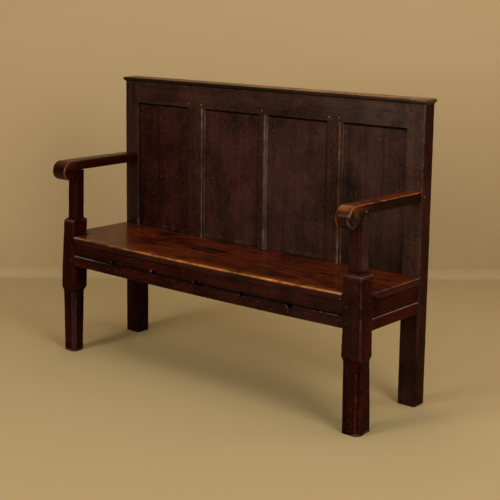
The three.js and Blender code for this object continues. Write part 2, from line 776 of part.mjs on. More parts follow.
addFrontPost('left_front_post', postSides.left);
addFrontPost('right_front_post', postSides.right);
addStile('left_rear_stile', -1);
addStile('right_rear_stile', 1);
addFrontRail();
addEndRail('left_end_rail', -1);
addEndRail('right_end_rail', 1);
addRearRail();
addTopRail();
addCrest();
muntins.forEach(addMuntin);
const uprights = [[-stileInner, -stileInner], ...muntins.map(muntinX), [stileInner, stileInner]];
const panelNames = ['far_left_panel', 'centre_left_panel', 'centre_right_panel', 'far_right_panel'];
panelNames.forEach((name, i) => addPanel(name, [uprights[i][1], uprights[i + 1][0]]));
addSeat();
addArm('left_arm', armSides.left, postSides.left);
addArm('right_arm', armSides.right, postSides.right);
addSidePegs('left', -1, postSides.left);
addSidePegs('right', 1, postSides.right);
addArmPegs('left', armSides.left, postSides.left);
addArmPegs('right', armSides.right, postSides.right);
muntins.forEach(addMuntinPegs);

function materialFor(finish) {
  const { color, roughness } = finishes[finish];
  return new THREE.MeshStandardMaterial({ color, roughness, metalness: 0, flatShading: true });
}

const settle = new THREE.Group();
solids.forEach(({ finish, solid }, name) => {
  const mesh = new THREE.Mesh(toGeometry(solid), materialFor(finish));
  mesh.name = name;
  settle.add(mesh);
});
pegs.forEach(({ name, shape }) => {
  const mesh = new THREE.Mesh(shape, materialFor('peg'));
  mesh.name = name;
  settle.add(mesh);
});

// The origin is at the middle of the footprint, on the floor
const bounds = new THREE.Box3().setFromObject(settle);
settle.position.set(-(bounds.min.x + bounds.max.x) / 2, -(bounds.min.y + bounds.max.y) / 2, 0);

export default settle;
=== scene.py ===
import math

import bmesh
import bpy
import numpy as np
from mathutils import Matrix, Vector, noise


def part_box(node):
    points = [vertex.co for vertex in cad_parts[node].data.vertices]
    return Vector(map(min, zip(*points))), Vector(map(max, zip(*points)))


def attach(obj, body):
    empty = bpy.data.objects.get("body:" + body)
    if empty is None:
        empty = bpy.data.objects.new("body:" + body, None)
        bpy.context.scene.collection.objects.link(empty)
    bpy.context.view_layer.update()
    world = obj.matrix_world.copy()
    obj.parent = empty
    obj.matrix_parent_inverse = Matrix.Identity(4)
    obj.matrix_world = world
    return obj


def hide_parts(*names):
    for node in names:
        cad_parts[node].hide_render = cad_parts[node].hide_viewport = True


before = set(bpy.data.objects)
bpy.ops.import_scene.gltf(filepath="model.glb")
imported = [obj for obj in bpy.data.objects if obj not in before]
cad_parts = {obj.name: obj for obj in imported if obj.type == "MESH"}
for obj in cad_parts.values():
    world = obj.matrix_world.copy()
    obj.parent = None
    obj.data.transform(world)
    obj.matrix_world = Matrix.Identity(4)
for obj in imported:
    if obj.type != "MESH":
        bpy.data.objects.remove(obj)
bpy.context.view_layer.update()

MM = 0.001
front_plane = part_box("left_front_post")[0].y / MM

# Sizes of the pieces, as in the CAD model unless a comment says otherwise
half_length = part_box("right_front_post")[1].x / MM
post = dict(width=71, depth=67, step=261, slope=16, taper=342, block=532, shoulder=8,
            front_inset=5, support_inset=11, support_depth=42, support_chamfer=8)
post_sides = dict(
    left=dict(side=-1, leg_outer=0, leg_inner=13, foot_inner=18, leg_rear=8, foot_rear=15,
              leg_chamfer=13, step_outer=-4, step_inner=0, step_rear=4.5, top_taper=18,
              top_rear=-5.5, outer=30, width=43, top_outer=39, top_width=41),
    right=dict(side=1, leg_outer=6, leg_inner=2, foot_inner=2, leg_rear=1, foot_rear=-9,
               leg_chamfer=12, step_outer=0, step_inner=-3, step_rear=-1.5, top_taper=1,
               top_rear=-1, outer=10, width=48.5, top_outer=12, top_width=46.5),
)
stile = dict(width=69, depth=58.5, inset=1, height=1046, lean=15, chamfer=7, chamfer_top=330)
seat = dict(height=471, thickness=24, nosing=5, round=6, quirk=2.5, bead=7, overhang=4,
            fall=10, sag=6, post_gap=3, rear_gap=15)
rail = dict(thickness=30, setback=2, front=92, end=102, rear=84, ledge=16)
channel = dict(height=41, lip=2, depth=3.6, width=6, setback=1.5)
rope = dict(spacing=207, rises=(0.54, 0.53, 0.51, 0.47, 0.42))
rope_stretch = 1.42  # how much wider than high the holes are worn; not in the CAD model
top_rail = dict(height=83, thickness=28)
crest = dict(thickness=17, front=10, rear=4, end=5)
panel = dict(recess=11, edge=7, field=12, bevel=32, tongue=8.5)
shrinkage = dict(height=8, depth=4.8)  # the gap under the top rail; not in the CAD model
muntin = dict(thickness=28, chamfer=10)
muntins = dict(left_muntin=(-322, 92), middle_muntin=(9, 46), right_muntin=(333, 72))
arm = dict(top=764, thickness=36.5, radius=37, level=3)
arm_sides = dict(
    left=dict(side=-1, reach=40, top_fall=7, under_fall=6, front_outer=2, front_inner=73,
              rear_outer=3, rear_inner=62),
    right=dict(side=1, reach=60, top_fall=12, under_fall=11, front_outer=8, front_inner=66,
               rear_outer=9, rear_inner=65),
)
fit = 0.3

stile_front = 407 - stile["depth"]
lean = stile["lean"] / stile["height"]
inner_post = half_length - post["width"]
stile_outer = half_length - stile["inset"]
stile_inner = stile_outer - stile["width"]
seat_under = seat["height"] - seat["thickness"]
rail_top = seat_under - fit
support_foot = post["block"] + post["shoulder"]
leg_top = 360  # where the colour of the rear legs changes, just under the seat
rail_bottom = stile["height"] - top_rail["height"]
arm_under = arm["top"] - arm["thickness"]
panel_face = stile_front + panel["recess"]


def place(points):
    """Millimetres from the posts' front faces to metres in the frame of the CAD model."""
    return (np.asarray(points, float) + (0, front_plane, 0)) * MM


def seat_drop(x, y):
    """How far the seat is below its height: it falls to the rear and sags in the middle."""
    return seat["fall"] * y / stile_front + seat["sag"] * (1 - (x / half_length) ** 2)


def face_at(z):
    """The front face of the back, which leans."""
    return stile_front + lean * z


def clamp(value):
    return np.clip(value, 0, 1)


def ramp(value, low, high):
    """From 0 where a value is low to 1 where it is high."""
    return clamp((value - low) / (high - low))


def band(distance, peak, fade):
    """1 near a line, 0 away from it: the peak less the distance over the fade."""
    return clamp(peak - np.abs(distance) / fade)


def most(*values):
    return np.maximum.reduce(np.broadcast_arrays(*values))


# Outlines


def softened(corners, radii, cuts, steps=3):
    """A polygon with rounded corners. cuts gives how many pieces each side is divided into."""
    points = [np.asarray(c, float) for c in corners]
    count = len(points)
    outline = []
    for i, point in enumerate(points):
        before, after = points[i - 1], points[(i + 1) % count]
        to_before, to_after = before - point, after - point
        reach = min(radii[i], 0.45 * np.linalg.norm(to_before), 0.45 * np.linalg.norm(to_after))
        start = point + to_before / max(np.linalg.norm(to_before), 1e-9) * reach
        end = point + to_after / max(np.linalg.norm(to_after), 1e-9) * reach
        for s in np.linspace(0, 1, steps + 1):
            outline.append((1 - s) ** 2 * start + 2 * s * (1 - s) * point + s * s * end)
        next_reach = min(radii[(i + 1) % count], 0.45 * np.linalg.norm(to_after))
        side_end = after - to_after / max(np.linalg.norm(to_after), 1e-9) * next_reach
        for s in shares_along(np.linalg.norm(side_end - end), cuts[i]):
            outline.append(end + (side_end - end) * s)
    return np.array(outline)


def shares_along(length, cuts):
    """Places on a side between its ends: one close to each end and the rest spread evenly."""
    if cuts < 3:
        return np.linspace(0, 1, cuts + 1)[1:-1]
    near = min(2.2 / max(length, 1e-9), 0.3)
    return np.concatenate([[near], np.linspace(near, 1 - near, cuts - 1)[1:-1], [1 - near]])


def rectangle(x0, x1, y0, y1, front_right, soft=1.7):
    """A rectangle, its front right corner cut off, with worn corners."""
    cut = max(front_right, 1.0)
    corners = [(x0, y0), (x1 - cut, y0), (x1, y0 + cut), (x1, y1), (x0, y1)]
    cut_soft = min(soft, cut * 0.4)
    return softened(corners, [soft, cut_soft, cut_soft, soft, soft], [4, 3, 4, 4, 4])


# Meshes


def put(name, data):
    """A new object in the scene."""
    obj = bpy.data.objects.new(name, data)
    bpy.context.scene.collection.objects.link(obj)
    return obj


def mesh_of(name, vertices, faces):
    """A mesh whose faces look outwards."""
    mesh = bpy.data.meshes.new(name)
    mesh.from_pydata([tuple(v) for v in vertices], [], faces)
    mesh.validate()
    obj = put(name, mesh)
    shape = bmesh.new()
    shape.from_mesh(mesh)
    bmesh.ops.remove_doubles(shape, verts=shape.verts, dist=1e-6)
    bmesh.ops.recalc_face_normals(shape, faces=shape.faces)
    shape.to_mesh(mesh)
    shape.free()
    return obj


def skin(name, rings):
    """A closed skin through a stack of rings, all with the same number of points, in metres."""
    count, size = rings.shape[:2]
    faces = []
    for r in range(count - 1):
        for i in range(size):
            j = (i + 1) % size
            faces.append((r * size + i, r * size + j, (r + 1) * size + j, (r + 1) * size + i))
    faces.append(tuple(reversed(range(size))))
    faces.append(tuple(range((count - 1) * size, count * size)))
    return mesh_of(name, rings.reshape(-1, 3), faces)


def shell(name, rings, cap=4.0):
    """A skin through rings in millimetres, each end drawn in by the cap over a flat face."""
    rings = np.asarray(rings, float)
    if cap:
        ends = shrunk(rings[0], cap), shrunk(rings[-1], cap)
        rings = np.concatenate([ends[0][None], rings, ends[1][None]])
    return skin(name, place(rings))


def slab(name, xs, zs, front, back):
    """A board between two fields of depth over the same grid of x and z."""
    across, up = len(xs), len(zs)
    sheet = across * up
    vertices = [(x, front(x, z), z) for z in zs for x in xs]
    vertices += [(x, back(x, z), z) for z in zs for x in xs]
    faces = []
    for j in range(up - 1):
        for i in range(across - 1):
            a = j * across + i
            quad = (a, a + 1, a + across + 1, a + across)
            faces += [quad, tuple(sheet + v for v in reversed(quad))]
    grid = np.arange(sheet).reshape(up, across)
    rim = np.concatenate([grid[0], grid[1:, -1], grid[-1, -2::-1], grid[-2:0:-1, 0]]).tolist()
    for a, b in zip(rim, rim[1:] + rim[:1]):
        faces.append((b, a, a + sheet, b + sheet))
    return mesh_of(name, vertices, faces)


def span(start, end, pitch):
    """Even steps between two places, no longer than the pitch."""
    return np.linspace(start, end, max(2, math.ceil(abs(end - start) / pitch) + 1))


def levels(breaks, pitch, soft):
    """Heights through a list of breaks, with three close together at each break."""
    heights = set()
    for low, high in zip(breaks, breaks[1:]):
        reach = min(soft, (high - low) / 3)
        heights.update([low, high, *span(low + reach, high - reach, pitch)])
    return np.array(sorted(heights))


def eased(z, heights, values, soft):
    """A value along z, read from a polyline whose corners are rounded off."""
    around = [np.interp(z + d, heights, values) for d in (-soft, -soft / 2, 0, soft / 2, soft)]
    return float(np.mean(around))


def shrunk(ring, amount):
    """A ring drawn in towards its middle, for the worn ends of a piece."""
    middle = (ring.max(0) + ring.min(0)) / 2
    half = np.maximum((ring.max(0) - ring.min(0)) / 2, 1e-6)
    scale = np.where(half > amount, (half - amount) / half, 1.0)
    return middle + (ring - middle) * scale


def with_ends(rings, axis, soft):
    """Adds the rounded arrises at both ends of a stack of rings."""
    flat = [a for a in range(3) if a != axis]
    ends = []
    for end, inwards in ((0, soft), (-1, -soft)):
        for turned in np.radians([90, 60, 30, 0]):
            ring = np.array(rings[end], float)
            ring[:, flat] = shrunk(ring[:, flat], soft * (1 - math.cos(turned)))
            ring[:, axis] += inwards * (1 - math.sin(turned))
            ends.append(ring)
    return ends[:4] + rings[1:-1] + ends[:3:-1]


# Age and painted light: uneven surfaces, worn arrises and the attributes that the finishes read,
# which carry painted shade and highlights besides the worn and grimy places


def weather(obj, amount, nicks, seed):
    """Hand-worked surfaces: slow waves all over and small losses along the arrises."""
    mesh = obj.data
    arris = arris_values(mesh)
    offset = Vector((seed * 3.1, seed * 1.7, seed * 2.3))
    normals = [v.normal.copy() for v in mesh.vertices]
    for v, normal, edge in zip(mesh.vertices, normals, arris):
        wave = noise.noise(v.co * 14 + offset) + 0.5 * noise.noise(v.co * 37 + offset)
        loss = max(0.0, noise.noise(v.co * 55 + offset)) * max(edge, 0.0)
        v.co += normal * (wave * amount - loss * nicks * 2 - max(edge, 0.0) * 0.1) * MM
        v.co.z = max(v.co.z, 0.0)


def arris_values(mesh):
    """From -1 in a sharp inner corner to 1 on a sharp arris, for each vertex."""
    shape = bmesh.new()
    shape.from_mesh(mesh)
    values = np.zeros(len(mesh.vertices))
    for edge in shape.edges:
        if len(edge.link_faces) != 2:
            continue
        angle = math.degrees(edge.calc_face_angle_signed(0.0))
        share = math.copysign(min(max(abs(angle) - 6, 0) / 18, 1), angle)
        for vertex in edge.verts:
            if abs(share) > abs(values[vertex.index]):
                values[vertex.index] = share
    shape.free()
    return values


def finish_piece(obj, node, slot, finish, smooth=38, **paints):
    """Writes the paints, each a number or a function of a place in millimetres and its arris, and
    hangs the piece in the frame in place of its node. Where no paint says otherwise, the arrises
    are worn, and the inner corners are always painted dark as shade."""
    mesh = obj.data
    arris = arris_values(mesh)
    sharp, corner = clamp(arris), clamp(-arris)
    x, y, z = np.array([v.co for v in mesh.vertices]).T / MM
    for name in ("wear", "grime", "red", "pale"):
        paint = paints.get(name, sharp if name == "wear" else 0)
        if callable(paint):
            paint = paint(x, y - front_plane, z, sharp)
        values = clamp(paint + 0 * arris)
        # inner corners are always painted dark, as shade
        if name == "grime":
            values = np.maximum(values, corner)
        layer = mesh.attributes.new(name, "FLOAT", "POINT")
        layer.data.foreach_set("value", np.asarray(values, np.float32))
    mesh.shade_smooth()
    mesh.set_sharp_from_angle(angle=math.radians(smooth))
    mesh.materials.clear()
    mesh.materials.append(made[slot, finish])
    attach(obj, "root")
    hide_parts(node)


def carve(obj, cutters):
    """Cuts shapes out of a piece and deletes the shapes."""
    for cutter in cutters:
        step = obj.modifiers.new("cut", "BOOLEAN")
        step.operation = "DIFFERENCE"
        step.solver = "EXACT"
        step.object = cutter
    seen = obj.evaluated_get(bpy.context.evaluated_depsgraph_get())
    mesh = bpy.data.meshes.new_from_object(seen)
    obj.modifiers.clear()
    old = obj.data
    obj.data = mesh
    bpy.data.meshes.remove(old)
    for cutter in cutters:
        bpy.data.objects.remove(cutter)


def block(x, y, z):
    """A plain box used only as a cutter."""
    ring = [(x[0], y[0]), (x[1], y[0]), (x[1], y[1]), (x[0], y[1])]
    return shell("cutter", [[(px, py, h) for px, py in ring] for h in z], cap=0)


# Finishes


class Nodes:
    """A short way to build a node tree."""

    def __init__(self, name):
        self.material = bpy.data.materials.new(name)
        self.material.use_nodes = True
        self.tree = self.material.node_tree
        self.shader = self.tree.nodes["Principled BSDF"]

    def add(self, kind, inputs=None, output=0, **settings):
        """A new node, of which one output goes on."""
        node = self.tree.nodes.new(kind)
        for key, value in settings.items():
            setattr(node, key, value)
        self.feed(node, inputs or {})
        return node.outputs[output]

    def feed(self, node, inputs):
        """Links each input to a socket, or gives it a value."""
        for key, value in inputs.items():
            if isinstance(value, bpy.types.NodeSocket):
                self.tree.links.new(value, node.inputs[key])
            else:
                node.inputs[key].default_value = value

    def math(self, operation, a, b=0.0, clamp=False):
        return self.add("ShaderNodeMath", {0: a, 1: b}, operation=operation, use_clamp=clamp)

    def plus(self, total, value, share):
        """A total with a share of a value added."""
        return self.math("ADD", total, self.math("MULTIPLY", value, share))

    def total(self, *parts):
        """The sum of some values, each times its share."""
        total = self.math("MULTIPLY", *parts[0])
        for value, share in parts[1:]:
            total = self.plus(total, value, share)
        return total

    def paint(self, name):
        return self.add("ShaderNodeAttribute", output="Fac", attribute_name=name)

    def mix(self, share, a, b, blend="MIX"):
        return self.add("ShaderNodeMix", {0: share, 6: a, 7: b}, 2, data_type="RGBA",
                        blend_type=blend)

    def remap(self, value, low, high, to_low=0.0, to_high=1.0):
        return self.add("ShaderNodeMapRange", {0: value, 1: low, 2: high, 3: to_low, 4: to_high})

    def noise(self, vector, scale, detail, rough, warp=0.0):
        return self.add("ShaderNodeTexNoise", {"Vector": vector, "Scale": scale, "Detail": detail,
                                               "Roughness": rough, "Distortion": warp}, "Fac")


def colour(red, green, blue):
    """A colour given as it shows on a screen, from 0 to 255, as linear light."""
    shares = [c / 255 for c in (red, green, blue)]
    linear = [s / 12.92 if s <= 0.04045 else ((s + 0.055) / 1.055) ** 2.4 for s in shares]
    return (*linear, 1.0)


# The black towards which painted shade and grimy places are darkened
SHADE_AND_GRIME_BLACK = (0.002, 0.001, 0.0007, 1)
BLACK_PORE = (0.002, 0.001, 0.001, 1)
REDDER = (1.35, 0.8, 0.65, 1)
# The pale of dust, and of the painted highlights, glints and sheen on the pale places
DUST_AND_HIGHLIGHT = colour(172, 154, 140)


def oak(name, grain, deep, warm, bare, rough=0.42, gloss=0.3, figure=1.0, bump=1.0, coat=0.0,
        tint=None, wear_gain=1.0, coat_rough=0.15, streak=(26, 0.06), mottle=0.3, specked=0.3):
    """Old waxed oak: grain along one axis, clouded patina, pores and pale specks, with the redder,
    worn, pale and grimy places that are painted on the piece. The worn and pale places carry
    painted highlights and sheen as well, and the grimy ones painted shade. The tint, if any, turns
    from one colour at the left end to another at the right, partly as a painted sheen that leaves
    the right greyer than the left."""
    n = Nodes(name)
    place_vector = n.add("ShaderNodeTexCoord", output="Object")

    def along_grain(stretch, *settings):
        scale = [stretch if axis == grain else 1.0 for axis in "xyz"]
        stretched = n.add("ShaderNodeMapping", {"Vector": place_vector, "Scale": scale})
        return n.noise(stretched, *settings)

    streaks = along_grain(streak[1], streak[0], 5, 0.6, 0.6)
    fibres = along_grain(0.03, 210, 3, 0.6)
    pores = along_grain(0.05, 620, 2, 0.5)
    clouds = n.noise(place_vector, 6.5, 4, 0.6, 0.4)
    blotches = n.noise(place_vector, 22, 4, 0.65)
    crackle = along_grain(0.45, 190, 3, 0.6, 0.5)
    tone = n.total((streaks, 0.55 * figure), (clouds, 0.6), (fibres, 0.25 * figure),
                   (n.math("SUBTRACT", crackle, 0.5), mottle))
    tone = n.remap(tone, 0.12 + 0.4 * figure, 0.48 + 0.4 * figure)
    shade = n.mix(tone, deep, warm)
    # the tint stands partly for a painted sheen, which leaves the right end greyer than the redder
    # left
    if tint:
        x = n.add("ShaderNodeSeparateXYZ", {0: place_vector})
        across = n.remap(n.plus(x, clouds, 0.5), -0.45, 0.85)
        shade = n.mix(1.0, shade, n.mix(across, tint[0], tint[1]), "MULTIPLY")
    shade = n.mix(n.remap(pores, 0.60, 0.72, 0.0, 0.55), shade, BLACK_PORE)
    shade = n.mix(n.paint("red"), shade, n.mix(1.0, shade, REDDER, "MULTIPLY"))
    grime = n.paint("grime")
    ragged = n.total((blotches, 0.8), (clouds, 0.6))
    # the worn places, which also carry painted highlights, turn towards the bare colour
    worn_and_lit = n.math("MULTIPLY", n.paint("wear"), n.remap(ragged, 0.55, 0.9, 0.1, 1.0))
    worn_and_lit = n.math("MULTIPLY", worn_and_lit, wear_gain, clamp=True)
    shade = n.mix(worn_and_lit, shade, bare)
    # pale places: painted highlights, glints and sheen, and some dust; the specks are real marks
    pale = n.math("MULTIPLY", n.paint("pale"), n.remap(ragged, 0.5, 0.85, 0.25, 1.0))
    specks = n.remap(n.noise(place_vector, 240, 1, 0.5), 0.70, 0.78, 0.0, specked)
    pale = n.math("MAXIMUM", pale, specks)
    shade = n.mix(pale, shade, DUST_AND_HIGHLIGHT)
    shade = n.mix(n.math("MULTIPLY", grime, 0.92), shade, SHADE_AND_GRIME_BLACK)
    patchy = n.total((blotches, 0.16), (streaks, 0.12))
    dull = n.plus(n.math("ADD", rough - 0.14, patchy), worn_and_lit, -0.08)
    dull = n.math("ADD", dull, n.math("MULTIPLY", grime, 0.25), clamp=True)
    relief = n.total((fibres, 0.1), (pores, -0.08), (streaks, 0.35), (blotches, 0.45),
                     (crackle, mottle))
    bumped = n.add("ShaderNodeBump", {"Height": relief, "Strength": 0.6,
                                      "Distance": 0.0012 * bump})
    n.feed(n.shader, {"Base Color": shade, "Roughness": dull, "Normal": bumped,
                      "Specular IOR Level": gloss, "Coat Weight": coat,
                      "Coat Roughness": coat_rough})
    return n.material


def finishes():
    """The finishes, by the slot and by the way of the grain or the piece that has it."""
    white = colour(255, 255, 255)
    # the back's tint is partly a painted sheen, greyer to the right
    back = dict(deep=colour(25, 10, 5), warm=colour(69, 40, 26), rough=0.42, gloss=0.04,
                bump=1.4, tint=(colour(214, 186, 192), white), mottle=0.5)
    made = {}
    for grain in "xyz":
        made["dark_oak_frame", grain] = oak(
            f"frame_oak_{grain}", grain, colour(14, 3, 2), colour(56, 17, 8),
            colour(128, 56, 38), rough=0.34, gloss=0.02, wear_gain=0.7, figure=1.15, mottle=0.6)
        made["dark_oak_back", grain] = oak(
            f"back_oak_{grain}", grain, bare=colour(112, 88, 72), wear_gain=0.6, **back)
    made["dark_oak_back", "crest"] = oak(
        "crest_oak", "x", bare=colour(172, 112, 58), coat=0.25, coat_rough=0.2, **back)
    # the panels' tint is partly a painted sheen, greyer to the right
    made["oak_panels", "z"] = oak(
        "panel_oak", "z", colour(21, 9, 6), colour(70, 40, 29), colour(80, 52, 40), gloss=0.04,
        tint=(colour(222, 152, 146), white), wear_gain=0.5, mottle=0.45)
    made["seat_plank", "x"] = oak(
        "seat_oak", "x", colour(16, 3, 2), colour(104, 41, 14), colour(216, 138, 66), rough=0.3,
        gloss=0.06, figure=1.5, bump=0.4, coat=0.12, wear_gain=1.1, coat_rough=0.06,
        streak=(60, 0.12), specked=0)
    made["worn_arms", "y"] = oak(
        "arm_oak", "y", colour(16, 4, 2), colour(50, 16, 7), colour(214, 118, 54), rough=0.3,
        gloss=0.06, figure=1.1, bump=0.5, coat=0.12, coat_rough=0.1, specked=0)
    made["pegs", "y"] = oak(
        "peg_oak", "y", colour(14, 5, 3), colour(34, 13, 8), colour(90, 66, 52), rough=0.34,
        gloss=0.15, wear_gain=0.3)
    return made


made = finishes()


# Front posts


def post_ring(sizes, z, heights, table, soft):
    values = [eased(z, heights, column, soft) for column in table]
    outer, inner, front, rear, chamfer = values
    low, high = inner_post + inner, half_length - outer
    x0, x1 = (low, high) if sizes["side"] > 0 else (-high, -low)
    ring = rectangle(x0, x1, front, post["depth"] - rear, chamfer)
    return [(x, y, z) for x, y in ring]


def build_post(word):
    s = post_sides[word]
    support_top = arm_under + 0.5
    narrow = post["width"] - s["outer"] - s["width"]
    top_narrow = post["width"] - s["top_outer"] - s["top_width"]
    behind = post["depth"] - post["support_inset"] - post["support_depth"]
    heights = [0, post["step"] - post["slope"], post["step"], post["taper"], rail_top,
               post["block"], support_foot, support_top]
    at_rail = s["top_taper"] * (rail_top - post["taper"]) / (post["block"] - post["taper"])
    table = [
        [s["leg_outer"], s["leg_outer"], s["step_outer"], 0, at_rail, s["top_taper"],
         s["outer"], s["top_outer"]],
        [s["foot_inner"], s["leg_inner"], s["step_inner"], 0, 0, 0, narrow, top_narrow],
        [post["front_inset"]] * 2 + [0] * 4 + [post["support_inset"]] * 2,
        [s["foot_rear"], s["leg_rear"], s["step_rear"], 0, 0, s["top_rear"], behind, behind],
        [s["leg_chamfer"]] * 2 + [1.5] * 4 + [post["support_chamfer"]] * 2,
    ]
    stations = levels(heights, 11, 1.0)
    rings = [post_ring(s, z, heights, table, 0.8) for z in stations]
    obj = shell(f"{word}_post_oak", with_ends(rings, 2, 1.2))
    weather(obj, 0.4, 0.8, seed=s["side"] * 5)
    finish_piece(obj, f"{word}_front_post", "dark_oak_frame", "z", wear=post_wear,
                 pale=post_pale, grime=post_grime,
                 red=lambda x, y, z, arris: 0.6 * ((x > half_length - 1) | (x < 0)))


def at_shoulder(z):
    return band(z - post["block"] + 0.3, 1.4, 0.6)


def post_grime(x, y, z, arris):
    """Painted shade: the left post is nearly black away from its arrises, the right one darker in
    front.
    """
    support = z > support_foot + 2
    front = (x > 0) & (x < half_length - 3) & (y < 20)
    return (0.38 + 0.15 * support) * (x < 0) * (1 - 0.7 * arris) + 0.12 * front


def post_pale(x, y, z, arris):
    """Painted highlights on the arrises of the block's top, on the front right arris of the right
    block and on the chamfer of the left leg; the arrises of the foot are worn pale. The right
    support is painted paler, most at its outer side, and the front of the right block a little."""
    above = (x > 0) * (z > support_foot + 2)
    pale_veil = above * np.where(x > half_length - 14, 0.055, 0.012)
    corner = 0.09 * arris * (x > half_length - 4) * (y < 4) * (z > post["step"])
    foot = 0.25 * arris * (z < 3)
    front = 0.014 * (x > 0) * (y < 3) * (z > post["step"])
    return most(0.5 * arris * at_shoulder(z), pale_veil, corner, foot, front,
                0.06 * on_leg_cut(x, y, z))


def on_leg_cut(x, y, z):
    """1 on the chamfer of the left leg, 0 elsewhere."""
    sizes = post_sides["left"]
    inner = np.interp(z, [0, post["step"]], [sizes["foot_inner"], sizes["leg_inner"]])
    across, behind = -inner_post - inner - x, y - post["front_inset"]
    near = (x < 0) & (across + behind < sizes["leg_chamfer"] + 1.5)
    return near & (z < post["step"] - post["slope"])


def post_wear(x, y, z, arris):
    """The arrises round the top of the block are worn bare, and the front right one a little; the
    worn arrises of the right leg and support carry painted highlights as well.
    """
    block_arris = (x > half_length - 4) & (y < 4) & (z > post["step"]) & (z < post["block"])
    leg_arris = (x > 0) & (y < post["front_inset"] + post_sides["right"]["leg_chamfer"] + 2)
    leg_arris &= z < post["step"]
    support_arris = (x > half_length - 24) & (y < post["support_inset"] + 2)
    support_arris &= z > support_foot + 5
    return arris * (0.3 + 0.7 * at_shoulder(z) + 0.7 * block_arris
                    + 0.6 * leg_arris + 0.5 * support_arris)


def build_stile(word, side):
    x0, x1 = (stile_inner, stile_outer) if side > 0 else (-stile_outer, -stile_inner)
    heights = [0, stile["chamfer_top"], stile["height"]]
    rings = []
    for z in levels(heights, 11, 4):
        cut = float(np.interp(z, heights, [stile["chamfer"], 1.5, 1.5]))
        y = face_at(z)
        rings.append([(px, py, z) for px, py in
                      rectangle(x0, x1, y, y + stile["depth"], cut, soft=1.6)])
    obj = shell(f"{word}_stile_oak", with_ends(rings, 2, 1))
    weather(obj, 0.35, 0.7, seed=side * 11)
    finish_piece(obj, f"{word}_rear_stile", "dark_oak_back", "z", wear=stile_wear,
                 pale=stile_pale, red=stile_red, grime=stile_grime)


def stile_wear(x, y, z, arris):
    return arris * np.where(np.abs(x) > stile_inner + 5, 0.6, 0.1)


def stile_red(x, y, z, arris):
    """The outer side of the right stile and both legs under the seat are redder."""
    return np.where((x > stile_outer - 1) | (z < leg_top), 1, 0.1)


def stile_grime(x, y, z, arris):
    """Painted shade: the legs under the seat are darker, and so is the outer side of the right
    stile.
    """
    leg = 0.55 * clamp((seat_under - rail["rear"] - z) / 30)
    side = x > stile_outer - 1
    return np.maximum(leg * np.where(side, 0.5, 1), side * np.where(z < leg_top, 0.3, 0.5))


def stile_pale(x, y, z, arris):
    """Both stiles are veiled pale in front, the right one with a painted sheen that grows towards
    its top. Painted highlights lie on the worn outer arris at the top of the right stile and on
    the inner arris of the left one, most just over the seat; the feet are worn pale all round."""
    in_front = y < face_at(z) + 4
    right = in_front * (x > stile_inner - 1)
    worn_and_lit = arris * (x > stile_outer - 4) * (0.12 + 0.85 * ramp(z, 985, 1030))
    pale_veil = 0.02 + 0.045 * ramp(z, 760, 960)
    inner = arris * in_front * (np.abs(x + stile_inner) < 3) * (z > seat["height"] - 20)
    inner = inner * (0.1 + 0.45 * clamp(1 - (z - seat["height"]) / 120))
    foot = 0.2 * arris * (z < 3)
    left = 0.018 * in_front * (x < 0) * (z > seat["height"])
    return most(right * worn_and_lit, right * pale_veil, inner, foot, left)


# Rails under the seat


def rail_outline(height):
    """Depth behind the frame's face and height, with the channel and the lip under it."""
    bottom = rail_top - height
    lip_top = bottom + channel["height"]
    deep, lip, wide = channel["depth"], channel["lip"], channel["width"]
    corners = [(0, bottom), (0, lip_top - lip), (lip, lip_top), (deep, lip_top),
               (deep, lip_top + wide - lip), (channel["setback"], lip_top + wide),
               (channel["setback"], rail_top), (rail["thickness"], rail_top),
               (rail["thickness"], bottom)]
    radii = [2.2, 1.4, 1.2, 0.8, 1.2, 1.6, 1, 1.5, 1.5]
    cuts = [5, 1, 1, 1, 1, 6, 3, 5, 4]
    return softened(corners, radii, cuts, steps=2)


def build_front_rail():
    outline = rail_outline(rail["front"])
    reach = inner_post + 4
    rings = [[(x, y + rail["setback"], z - seat_drop(x, y)) for y, z in outline]
             for x in span(-reach, reach, 9)]
    obj = shell("front_rail_oak", rings)
    carve(obj, [rope_hole(x, z) for x, z in rope_places()])
    weather(obj, 0.35, 0.5, seed=3)
    finish_piece(obj, "front_seat_rail", "dark_oak_frame", "x",
                 wear=lambda x, y, z, arris: 0.12 * arris, pale=front_lip_pale,
                 grime=front_rail_grime)


def on_lip(x, y, z, which):
    """1 on the arris of the lip under the channel of a rail, 0 away from it."""
    level = rail_top - rail[which] - seat_drop(x, y) + channel["height"] - 1.5
    return band(z - level, 1.6, 1.3)


def front_lip_pale(x, y, z, arris):
    """A painted highlight on the worn lip, bare at its left end as far as the first hole and in
    dots at its right end, and on the worn mouths of the holes. The right half of the rail is
    painted a little paler."""
    left = 0.75 * ramp(-x, 500, 550) + 0.25 * ramp(-x, 420, 480)
    dots = np.array([noise.noise(Vector((along * 0.37, 0.5, 0))) for along in x])
    right = 0.5 * ramp(x, 490, 520) * (0.1 + 0.9 * (dots > 0.03)) * arris
    worn_and_lit = on_lip(x, y, z, "front") * (left + right)
    pale_veil = 0.022 * ramp(x, -150, 350) * (y < rail["setback"] + 2.5)
    worn_and_lit = np.maximum(worn_and_lit, pale_veil)
    for hole_x, hole_z in rope_places():
        around = (np.hypot((x - hole_x) / 1.4, z - hole_z) < 10) & (x < hole_x - 7)
        around &= z < hole_z + 2
        worn_and_lit = np.where(around & (arris > 0), 0.5, worn_and_lit)
    return worn_and_lit


def rope_places():
    for i, rise in enumerate(rope["rises"]):
        x = (i - 2) * rope["spacing"]
        yield x, rail_top - rail["front"] * (1 - rise) - seat_drop(x, rail["setback"])


